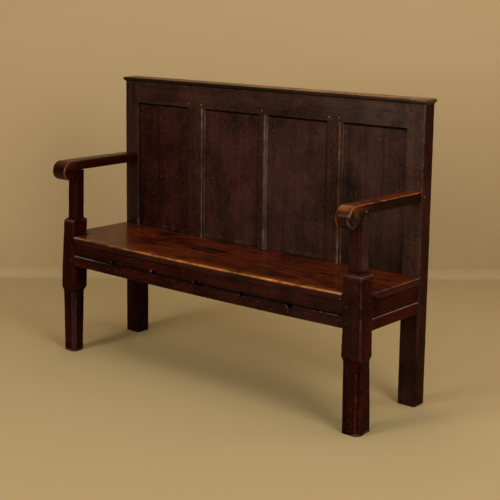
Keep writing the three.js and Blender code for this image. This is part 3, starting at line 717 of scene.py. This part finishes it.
def front_rail_grime(x, y, z, arris):
    """Painted shade: black in the rope holes and a dark band along the channel."""
    middle = rail_top - rail["front"] - seat_drop(x, y) + channel["height"] + 3
    dark = 0.08 + 0.42 * band(z - middle, 1.6, 6)
    for hole_x, hole_z in rope_places():
        near = np.hypot((x - hole_x) / 1.4, z - hole_z) < 11
        dark = np.where(near & (y > rail["setback"] + 2.5), 1, dark)
    return dark


def rope_hole(x, z):
    """A bored hole whose mouths are worn wider by the rope."""
    rings = []
    for y, radius in ((-3, 9), (2, 8.4), (5, 7.8), (9, 7.4), (27, 7), (31, 7.4), (36, 8.4)):
        angles = np.linspace(0, math.tau, 20, endpoint=False)
        rings.append([(x + rope_stretch * radius * math.cos(a), y, z + radius * math.sin(a))
                      for a in angles])
    return shell("cutter", rings, cap=0)


def build_end_rail(word, side):
    outline = rail_outline(rail["end"])
    outer = half_length - rail["setback"]
    rings = []
    for share in np.linspace(0, 1, 32):
        ring = []
        for depth, z in outline:
            start, end = post["depth"] - 3, face_at(z - seat["fall"]) + 3
            x, y = side * (outer - depth), start + (end - start) * share
            ring.append((x, y, z - seat_drop(x, y)))
        rings.append(ring)
    obj = shell(f"{word}_end_rail_oak", rings)
    weather(obj, 0.35, 0.6, seed=7 + side)
    # the arris of the lip is worn and carries a painted highlight
    finish_piece(obj, f"{word}_end_rail", "dark_oak_frame", "y",
                 wear=lambda x, y, z, arris: arris * (0.1 + 0.4 * on_lip(x, y, z, "end")),
                 pale=lambda x, y, z, arris: 0.4 * on_lip(x, y, z, "end"), red=0.5)


def build_rear_rail():
    ring = softened([(stile_front - rail["ledge"], rail_top - rail["rear"]),
                     (stile_front + muntin["thickness"], rail_top - rail["rear"]),
                     (stile_front + muntin["thickness"], rail_top),
                     (stile_front - rail["ledge"], rail_top)], [2] * 4, [5] * 4)
    reach = stile_inner + 4
    rings = []
    for x in span(-reach, reach, 14):
        rings.append([(x, y + lean * z, z - seat_drop(x, y)) for y, z in ring])
    obj = shell("rear_rail_oak", rings)
    weather(obj, 0.5, 0.6, seed=21)
    finish_piece(obj, "rear_seat_rail", "dark_oak_back", "x")


# The back


def build_top_rail():
    """The top rail with two fine lines scratched along it, faint at the left."""
    low, high, deep = rail_bottom, stile["height"], top_rail["thickness"]
    reach = stile_inner + 4
    rings = []
    for x in span(-reach, reach, 9):
        cut = 0.12 + 0.22 * ramp(x, -100, 200)
        corners = [(0, low), (0, low + 34), (cut, low + 35.2), (0, low + 36.4), (0, low + 47),
                   (cut, low + 48.4), (0, low + 49.8), (0, high), (deep, high), (deep, low)]
        radii = [2.2, 0.5, 0.4, 0.5, 0.5, 0.4, 0.5, 1, 2, 2]
        outline = softened(corners, radii, [5, 1, 1, 2, 1, 1, 5, 3, 5, 3], steps=2)
        rings.append([(x, y + face_at(z), z) for y, z in outline])
    obj = shell("top_rail_oak", rings)
    weather(obj, 0.4, 0.8, seed=31)

    def without_lines(x, y, z, arris):
        return np.where((z > low + 30) & (z < low + 54), 0, arris * 0.7)

    # the pale paint is a thin veil that grows into a painted sheen to the right
    finish_piece(obj, "back_top_rail", "dark_oak_back", "x", wear=without_lines,
                 pale=lambda x, y, z, arris: np.clip((x - 150) / 400 * 0.07, 0.016, 0.065))


def build_crest():
    """A square-edged board over a small cove, returned round its ends."""
    bottom = stile["height"] + fit
    top = bottom + crest["thickness"]
    profile = [(6.0, bottom), (5.7, bottom + 2.0), (4.8, bottom + 3.6), (1.4, bottom + 4.6),
               (0.3, bottom + 5.4), (0, bottom + 7.5), (0, top - 3.5), (0.2, top - 2.2),
               (0.9, top - 1.0), (2.2, top - 0.3), (5.0, top)]
    reach, right_reach = stile_outer + crest["end"], stile_outer + crest["end"] + 2
    rings = []
    for inset, z in profile:
        front = face_at(z) - crest["front"] + inset
        rear = face_at(z) + stile["depth"] + crest["rear"] - min(inset, 1.5)
        left, right = -reach + inset, right_reach - inset
        corners = [(left, front), (right, front), (right, rear), (left, rear)]
        ring = softened(corners, [2, 2.5, 2, 2], [110, 6, 110, 6])
        rings.append([(x, y, z) for x, y in ring])
    obj = shell("crest_oak", rings)
    weather(obj, 0.35, 0.7, seed=41)
    finish_piece(obj, "crest_board", "dark_oak_back", "crest", wear=crest_wear, grime=crest_grime)


def crest_height(z):
    return z - stile["height"] - fit


def crest_wear(x, y, z, arris):
    """The top of the crest is worn bare and pale, with a painted reflection on it, most in the
    right half.
    """
    on_top = clamp(crest_height(z) - crest["thickness"] + 1.2)
    rubbed_end = 0.5 * ramp(x, 560, 660)
    return on_top * (0.3 + 0.4 * ramp(x, -300, 100)) + arris * (0.1 + rubbed_end)


def crest_grime(x, y, z, arris):
    """Its edge is dark, more so at the left."""
    edge = clamp((crest["thickness"] - 1.5 - crest_height(z)) / 1.5)
    return edge * np.where(x > stile_outer + 3, 0.1, 0.8 - 0.2 * clamp(x / 500))


# How pale the right chamfer of each muntin is painted between its arrises: a painted highlight
# where it faces the light, on worn wood
cut_pale = dict(left_muntin=0.015, middle_muntin=0.13, right_muntin=0.0)


def build_muntin(name):
    """An upright with chamfered arrises, its foot dropping with the seat."""
    centre, width = muntins[name]
    low, high = rail_top - 4, rail_bottom + 3
    rings = []
    deep, cut, soft = muntin["thickness"], muntin["chamfer"], 1.4
    for z in levels([low, rail_bottom - 4, high], 11, 2):
        x0, x1 = centre - width / 2, centre + width / 2
        corners = [(x0 + cut, 0), (x1 - cut, 0), (x1, cut), (x1, deep), (x0, deep), (x0, cut)]
        ring = softened(corners, [soft, soft, soft, 1.5, 1.5, soft], [5, 4, 3, 5, 3, 4])
        share = max(foot_share(z), 0)
        rings.append([(x, y + face_at(z), z - share * seat_drop(x, stile_front))
                      for x, y in ring])
    obj = shell(f"{name}_oak", rings)
    weather(obj, 0.35, 0.8, seed=centre)

    # worn arrises, brighter on the right side, where they face the light, as a painted highlight
    def worn_and_lit_right(x, y, z, arris):
        return arris * np.where(x > centre, 1.0, 0.4) * (z < rail_bottom - 1)

    # a painted highlight on the right arrises and chamfer, strongest near the ends
    def pale_right(x, y, z, arris):
        to_end = np.minimum(rail_bottom - z, z + seat_drop(x, y) - seat["height"])
        on_arris = 0.5 * arris * (0.35 + 0.65 * clamp(1 - to_end / 120))
        on_cut = (x > centre + width / 2 - cut) & (y < face_at(z) + cut)
        right = (x > centre) & (z < rail_bottom - 1)
        return np.where(right, np.maximum(on_arris, cut_pale[name] * on_cut), 0)

    finish_piece(obj, name, "dark_oak_back", "z", wear=worn_and_lit_right, pale=pale_right)


def foot_share(z):
    """From 0 at the top of a panel or muntin to 1 at the top of the rail that it stands on."""
    return (rail_bottom - z) / (rail_bottom - rail_top)


def height_over_seat(x, z):
    return z + foot_share(z) * seat_drop(x, panel_face) - seat["height"]


# How thick the pale veil lies on each panel: partly dust, partly a painted sheen
panel_veil = dict(far_left_panel=0.004, centre_left_panel=0.014, centre_right_panel=0.024,
                  far_right_panel=0.014)


def build_panel(name, left, right, seed):
    """A panel, flat in front with a slight hand-planed wave, bevelled behind."""
    x0, x1 = left - panel["tongue"], right + panel["tongue"]
    z0, z1 = rail_top - panel["tongue"], rail_bottom + panel["tongue"]
    swell = panel["field"] - panel["edge"]

    def front(x, z):
        wave = noise.noise(Vector((x * 0.012, z * 0.004, seed)))
        ripple = noise.noise(Vector((x * 0.045, z * 0.008, seed + 7)))
        gap = shrinkage["depth"] - max(rail_bottom - z - shrinkage["height"], 0) * 5
        return wave * 0.9 + ripple * 0.25 + max(gap, 0)

    def back(x, z):
        inwards = min(x - x0, x1 - x, z - z0, z1 - z) - panel["tongue"] - fit
        rise = min(max(inwards / (panel["bevel"] - panel["tongue"]), 0), 1)
        return panel["edge"] + swell * rise

    bevels = [panel["tongue"] + fit, panel["bevel"]]
    bevels += [panel["tongue"] + b for b in (2.5, shrinkage["height"], shrinkage["height"] + 1)]

    def stations(low, high, pitch):
        near_ends = [low + b for b in bevels] + [high - b for b in bevels]
        return sorted({low, high, *near_ends, *span(low + 40, high - 40, pitch)})

    obj = slab(f"{name}_oak", stations(x0, x1, 9), stations(z0, z1, 12), front, back)
    for v in obj.data.vertices:
        x, y, z = v.co
        y += panel_face + lean * z
        v.co = place([(x, y, z - max(foot_share(z), 0) * seat_drop(x, panel_face))])[0]
    obj.data.update()

    def panel_shade(x, y, z, arris):
        """Painted shade along the edges, most under the top rail and just over the seat; the far
        right panel is painted darker towards its foot."""
        sides = np.minimum(x - left, right - x)
        under_rail, over_seat = rail_bottom - z, height_over_seat(x, z)
        top = clamp((shrinkage["height"] + 1.5 - under_rail) / 1.5)
        low = 0.72 * clamp(1 - over_seat / 220) * (x > muntins["right_muntin"][0])
        return most(0.7 - sides / 6, top, 0.6 - over_seat / 9, low)

    def pale_veil(x, y, z, arris):
        """A thin pale veil, partly dust and partly a painted sheen, and pale scuffs just over the
        seat.
        """
        patches = np.array([noise.noise(Vector((along * 0.035, seed, 0.5))) for along in x])
        low = band(height_over_seat(x, z) - 7, 1, 10)
        return np.maximum(panel_veil[name], 0.09 * low * clamp(patches * 4))

    finish_piece(obj, name, "oak_panels", "z", grime=panel_shade, pale=pale_veil)


def panel_spaces():
    edges = [(-stile_inner, -stile_inner)]
    edges += [(c - w / 2, c + w / 2) for c, w in muntins.values()]
    edges += [(stile_inner, stile_inner)]
    names = ["far_left_panel", "centre_left_panel", "centre_right_panel", "far_right_panel"]
    return [(n, edges[i][1], edges[i + 1][0]) for i, n in enumerate(names)]


# Seat plank


def build_seat():
    top, bottom, front = seat["height"], seat_under, -seat["nosing"]
    gap = 2 * fit
    rear = panel_face + lean * top - gap
    quirk, bead = seat["quirk"], seat["bead"]
    corners = [(front, bottom + bead + quirk), (front, top), (rear, top), (rear, bottom),
               (front + quirk, bottom), (front + quirk * 0.6, bottom + bead * 0.5),
               (front + quirk, bottom + bead)]
    radii = [0.8, seat["round"] * 1.5, 1, 1, 1.2, 3, 0.8]
    outline = softened(corners, radii, [3, 34, 3, 24, 1, 1, 1], steps=5)
    reach = half_length + seat["overhang"]
    stations = [-reach, *span(-reach + 4, reach - 4, 10), reach]
    rings = [[(x, y, z) for y, z in outline] for x in stations]
    obj = shell("seat_oak", with_ends(rings, 0, 1.6), cap=1.5)
    for v in obj.data.vertices:
        v.co.z -= seat_drop(v.co.x / MM, v.co.y / MM - front_plane) * MM
    height, behind = (bottom - 30, top + 10), (face_at(top) - gap, rear + 20)
    cutters = []
    for side in (-1, 1):
        ends = sorted((side * (inner_post - seat["post_gap"]), side * (reach + 10)))
        cutters.append(block(ends, (front - 10, post["depth"] + seat["rear_gap"]), height))
        ends = sorted((side * (stile_inner - gap), side * (reach + 10)))
        cutters.append(block(ends, behind, height))
    for centre, width in muntins.values():
        half = width / 2 + gap
        cutters.append(block((centre - half, centre + half), behind, height))
    carve(obj, cutters)
    weather(obj, 0.45, 0.7, seed=51)
    finish_piece(obj, "seat_plank", "seat_plank", "x", wear=seat_wear, grime=seat_grime,
                 pale=seat_pale,
                 red=lambda x, y, z, arris: 1.0 * (x > half_length + seat["overhang"] - 2))


def above_seat(x, y, z):
    return z + seat_drop(x, y) - seat["height"]


def seat_wear(x, y, z, arris):
    """The front arris of the top is worn golden and carries a painted highlight, most in the
    middle and to the right; a painted sheen lies along the front of the top.
    """
    up = above_seat(x, y, z)
    front = band(y + seat["nosing"] - 2.5, 1.3, 5.5)
    upper = clamp(1 + (up + 2) / 4)
    along = 0.3 + 0.7 * ramp(x, -420, -200) - 0.25 * ramp(x, 440, 540)
    end_face = 0.04 * (x > half_length + seat["overhang"] - 0.5) * (up < -1.7)
    # a painted sheen along the front of the top
    glow = (0.08 + 0.1 * along) * clamp(1 - y / 45) * (up > -2)
    return 0.9 * front * upper * along + glow + end_face


def seat_grime(x, y, z, arris):
    """The front and end faces of the plank are painted dark, as shade, up to the round of its top.
    """
    at_end = x > half_length + seat["overhang"] - 2
    under = -above_seat(x, y, z)
    return np.where(at_end, 0.84 * (under > 1.2), 0.72 * ramp(under, 4, 7))


def seat_pale(x, y, z, arris):
    """Thin painted highlights on the worn ends of the front arris and on the arris of the right
    end.
    """
    up = above_seat(x, y, z)
    ends = clamp((np.abs(x) - 520) / 80) * (y < 2)
    end_arris = 0.42 * (x > half_length + seat["overhang"] - 1) * (up > -1.8)
    return np.maximum(0.5 * band(up + 1.5, 1, 3) * ends, end_arris)


# Arms


def arm_loop(sizes):
    """The side outline of an arm: points, and how far each is rounded in and across."""
    radius, reach = arm["radius"], sizes["reach"]
    cy, cz = radius - reach, arm["top"] - radius
    post_face = post["support_inset"] - fit
    meet = min((post_face - cy) / radius, 1)
    level_end = post["support_inset"] + post["support_depth"] + arm["level"]
    rear_top = arm["top"] - sizes["top_fall"]
    rear_bottom = arm_under - sizes["under_fall"]
    turn = np.linspace(math.pi / 2, math.tau - math.acos(meet), 34)
    scroll = [(cy + radius * math.cos(a), cz + radius * math.sin(a)) for a in turn]
    under_end = face_at(rear_bottom) + 3
    under = [(y, float(np.interp(y, [level_end, under_end], [arm_under, rear_bottom])))
             for y in span(level_end, under_end, 9)]
    top_end = face_at(rear_top) + 3
    over = [(y, float(np.interp(y, [cy, top_end], [arm["top"], rear_top])))
            for y in span(top_end, cy, 9)[:-1]]
    middle = [(post_face, arm_under), ((post_face + level_end) / 2, arm_under)]
    points = scroll + middle + under + over
    return np.array(points), len(scroll), len(middle) + len(under)


def loop_normals(points):
    """Directions out of a closed outline, at each of its points."""
    along = np.roll(points, -1, 0) - np.roll(points, 1, 0)
    along /= np.maximum(np.linalg.norm(along, axis=1), 1e-9)[:, None]
    return np.stack([along[:, 1], -along[:, 0]], 1)


def build_arm(word):
    s = arm_sides[word]
    points, scroll_count, under_count = arm_loop(s)
    normals = loop_normals(points)
    rounding = arm_rounding(word, points, scroll_count, under_count)
    across_outer, in_outer, round_inner, straight = rounding

    def side_line(y, which):
        """How far out the outer or the inner side is, as the arm tapers to the rear."""
        front, rear = s[f"front_{which}"], s[f"rear_{which}"]
        along = (y + s["reach"]) / (face_at(arm["top"]) + s["reach"])
        return half_length - (front + (rear - front) * along)

    outer, inner = side_line(points[:, 0], "outer"), side_line(points[:, 0], "inner")
    low, high = outer - across_outer, inner + round_inner
    steps, cap = np.linspace(0, 1, 6), 2.5
    sections = [(outer, in_outer + cap)]
    for t in steps[::-1]:
        inward, shift = corner_curve(t, straight)
        sections.append((outer - across_outer * shift, in_outer * inward))
    for share in np.linspace(0, 1, 8)[1:-1]:
        sections.append((low + (high - low) * share, 0 * outer))
    for t in steps:
        inward, shift = corner_curve(t, 0)
        sections.append((inner + round_inner * shift, round_inner * inward))
    sections.append((inner, round_inner + cap))
    rings = [np.column_stack([s["side"] * x, points - normals * inset[:, None]])
             for x, inset in sections]
    obj = shell(f"{word}_arm_oak", rings, cap=0)
    weather(obj, 0.5, 0.5, seed=60 + s["side"])

    def from_outside(x, y):
        return side_line(y, "outer") - np.abs(x)

    # how bright the painted highlights of each arm are, and how worn its top and inner arris
    bright, rubbed_top, rubbed_inner = (1.0, 0.17, 0.3) if word == "right" else (0.45, 0.08, 0.9)

    def arm_wear(x, y, z, arris):
        """The outer arris carries a bright painted highlight on its worn wood, and the outer side
        of the scroll is painted lighter towards its top; the top and the inner arris are worn,
        most over the scroll.
        """
        inwards = from_outside(x, y)
        line = band(inwards - 2.7, 1.5, 1.2) * (z > arm_under + 4)
        top = ramp(z, arm["top"] - 20, arm["top"] - 12) * ramp(inwards, 3, 9)
        scroll = clamp((30 - y) / 60)
        face = 0.32 * scroll * (inwards < 1) * clamp((z - arm_under - 14) / 14)
        inner = band(np.abs(x) - side_line(y, "inner") - 3, 1.5, 2)
        return bright * most(line, top * (rubbed_top + 0.16 * scroll), face,
                             inner * scroll * rubbed_inner)

    def arm_grime(x, y, z, arris):
        """Painted shade on the sides, but for the upper part of the scroll; the left arm is
        painted a little darker all over.
        """
        inwards = from_outside(x, y)
        scroll = clamp((30 - y) / 60) * clamp((z - arm_under - 5) / 20)
        side = 0.72 * (inwards < 1) * (1 - 0.75 * scroll)
        return np.maximum(side, 0.2 * (word == "left"))

    def arm_pale(x, y, z, arris):
        """A painted highlight on the arrises of the splay under the scroll."""
        lobe = (z < arm_under - 1) & (y < post["support_inset"] - 2)
        return 0.3 * bright * arris * lobe * (from_outside(x, y) < 11)

    finish_piece(obj, f"{word}_arm", "worn_arms", "y", wear=arm_wear, grime=arm_grime,
                 pale=arm_pale,
                 red=lambda x, y, z, arris: np.where((from_outside(x, y) < 2) | (x < 0), 1, 0.2))


def corner_curve(t, straight):
    """How far a corner is drawn in and across at a share of the way round it."""
    round_in, round_across = 1 - math.cos(t * math.pi / 2), 1 - math.sin(t * math.pi / 2)
    return (round_in * (1 - straight) + t * straight,
            round_across * (1 - straight) + (1 - t) * straight)


def arm_rounding(word, points, scroll_count, under_count):
    """The worn rounding of each point of the outline: how far it reaches across and in at the
    outer side, and both at the inner side, and 1 where it is a straight splay."""
    order = np.arange(len(points))
    on_scroll, height = order < scroll_count, points[:, 1]
    upper = (order >= scroll_count + under_count) | (on_scroll & (height > arm_under))
    across_outer, in_outer = np.where(upper, 6, 3.5), np.where(upper, 5.5, 3.5)
    inner = np.where(upper, 7, 3.5)
    straight = np.zeros(len(points))
    if word == "right":
        lower = on_scroll & (height <= arm_under)
        splay = 3.5 + 16 * clamp((arm_under - height) / 12)
        across_outer = np.where(lower, 9, across_outer)
        in_outer = np.where(lower, splay, in_outer)
        straight = 1.0 * lower
    return across_outer, in_outer, inner, straight


# Pegs


def build_peg(name):
    """The slightly domed, uneven head and the shank of a riven peg."""
    low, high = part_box(name)
    size = high - low
    axis = max(range(3), key=lambda i: size[i])
    middle = (low + high) / 2
    head_low = axis == 1 or middle.x < 0
    tip, out = (low[axis], -1) if head_low else (high[axis], 1)
    flats = [i for i in range(3) if i != axis]
    radius = min(size[flats[0]], size[flats[1]]) / 2
    seed = middle.x * 40 + middle.z * 13
    rings = []
    for depth, share in ((0.0, 0.35), (0.0002, 0.7), (0.0007, 0.93), (0.0016, 1.0),
                         (0.012, 0.98), (0.022, 0.95)):
        rings.append(peg_ring(middle, axis, flats, tip - out * depth, radius * share, seed))
    obj = skin(f"{name}_oak", np.array(rings))
    # a painted glint on the heads of the pegs in the back and in the arms
    peg_glint = 0.25 * ("muntin_top" in name or "arm" in name)
    finish_piece(obj, name, "pegs", "y", smooth=50, pale=peg_glint)


def peg_ring(middle, axis, flats, level, radius, seed):
    ring = []
    for i in range(16):
        angle = math.tau * i / 16
        uneven = 1 - 0.1 * abs(noise.noise(Vector((math.cos(angle), math.sin(angle), seed))))
        point = list(middle)
        point[axis] = level
        point[flats[0]] += radius * uneven * math.cos(angle)
        point[flats[1]] += radius * uneven * math.sin(angle)
        ring.append(point)
    return ring


# Assembly

for word, side in (("left", -1), ("right", 1)):
    build_post(word)
    build_stile(word, side)
    build_end_rail(word, side)
    build_arm(word)
build_front_rail()
build_rear_rail()
build_top_rail()
build_crest()
for name in muntins:
    build_muntin(name)
for number, (name, left, right) in enumerate(panel_spaces()):
    build_panel(name, left, right, number * 5.0)
build_seat()
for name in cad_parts:
    if "_peg" in name:
        build_peg(name)


# Floor, backdrop, light and camera

# The camera as fitted to the photo, in pixels, degrees and metres
picture_size, focal_length, middle_row, film_width = 500, 1127.4661, 174.646, 36
yaw, pitch, roll = math.radians(39.0165), math.radians(9.6849), math.radians(0.2110)
eye = Vector((2.58009, -3.06172, 1.44289))
ahead = Vector((-math.sin(yaw), math.cos(yaw), 0))
sideways = Vector((math.cos(yaw), math.sin(yaw), 0))


def plain(name, tone, rough):
    """A matt paint on one side, clear from the other, so that it hides nothing from behind."""
    n = Nodes(name)
    behind = n.add("ShaderNodeNewGeometry", output="Backfacing")
    clear = n.add("ShaderNodeBsdfTransparent")
    both = n.add("ShaderNodeMixShader", {0: behind, 1: n.shader.outputs[0], 2: clear})
    n.feed(n.tree.nodes["Material Output"], {"Surface": both})
    n.feed(n.shader, {"Base Color": tone, "Roughness": rough, "Specular IOR Level": 0.1})
    return n.material


def build_stage():
    """A wide floor and a wall behind the settle, square to the view, with a cove at its foot."""
    wall, cove, height, half, near, far = 5.434, 0.05, 4.0, 9.0, -6.0, 13.0
    profile = [(near, 0.0), (far, 0.0)]
    for angle in np.linspace(0, math.pi / 2, 9):
        profile.append((wall - cove + cove * math.sin(angle), cove - cove * math.cos(angle)))
    profile.append((wall, height))
    foot = Vector((eye.x, eye.y, 0))
    vertices = [foot + ahead * forward + sideways * side + Vector((0, 0, up))
                for forward, up in profile for side in (-half, half)]
    faces = [(2 * i, 2 * i + 1, 2 * i + 3, 2 * i + 2) for i in (0, *range(2, len(profile) - 1))]
    mesh = bpy.data.meshes.new("studio")
    mesh.from_pydata([tuple(v) for v in vertices], [], faces)
    mesh.materials.append(plain("floor_paint", colour(183, 159, 112), 0.9))
    mesh.materials.append(plain("wall_paint", colour(184, 158, 115), 0.9))
    for i, polygon in enumerate(mesh.polygons):
        polygon.material_index = 1 if i > 0 else 0
        polygon.use_smooth = True
    put("studio", mesh)


def build_light(name, position, target, width, height, power, tone=(1.0, 0.97, 0.93)):
    data = bpy.data.lights.new(name, "AREA")
    data.shape = "RECTANGLE"
    data.size, data.size_y = width, height
    data.energy = power
    data.color = tone
    obj = put(name, data)
    obj.location = position
    obj.rotation_euler = (Vector(target) - Vector(position)).to_track_quat("-Z", "Y").to_euler()


def build_camera():
    data = bpy.data.cameras.new("camera")
    data.sensor_width = film_width
    data.lens = focal_length / picture_size * film_width
    data.shift_y = -(picture_size / 2 - middle_row) / picture_size
    data.clip_end = 50
    forward = ahead * math.cos(pitch) + Vector((0, 0, -math.sin(pitch)))
    up = sideways.cross(forward)
    right = sideways * math.cos(roll) + up * math.sin(roll)
    over = up * math.cos(roll) - sideways * math.sin(roll)
    turn = Matrix((right, over, -forward)).transposed()
    obj = put("camera", data)
    obj.matrix_world = Matrix.Translation(eye) @ turn.to_4x4()
    bpy.context.scene.camera = obj


def build_world():
    world = bpy.data.worlds.new("studio_air")
    world.use_nodes = True
    ground = world.node_tree.nodes["Background"]
    ground.inputs["Color"].default_value = (1.0, 0.95, 0.88, 1)
    ground.inputs["Strength"].default_value = 0.08
    bpy.context.scene.world = world


build_stage()
build_light("left_softbox", (-1.1, -4.1, 2.05), (0, 0, 0.6), 1.5, 2.2, 94)
build_light("right_softbox", (3.6, -1.2, 2.3), (0, 0, 0.6), 1.6, 1.8, 80)
build_light("top_softbox", (0.4, -0.6, 3.6), (0.2, 0, 0.4), 2.4, 2.4, 40, (1.0, 0.98, 0.95))
build_light("backdrop_softbox", (1.9, 1.0, 2.3), (0.4, 2.2, 0.8), 1.0, 1.0, 11)
build_light("rear_softbox", (-0.4, 1.15, 2.3), (0, 0.2, 0.6), 1.2, 0.8, 3)
build_camera()
build_world()
bpy.context.scene.view_settings.view_transform = "Standard"
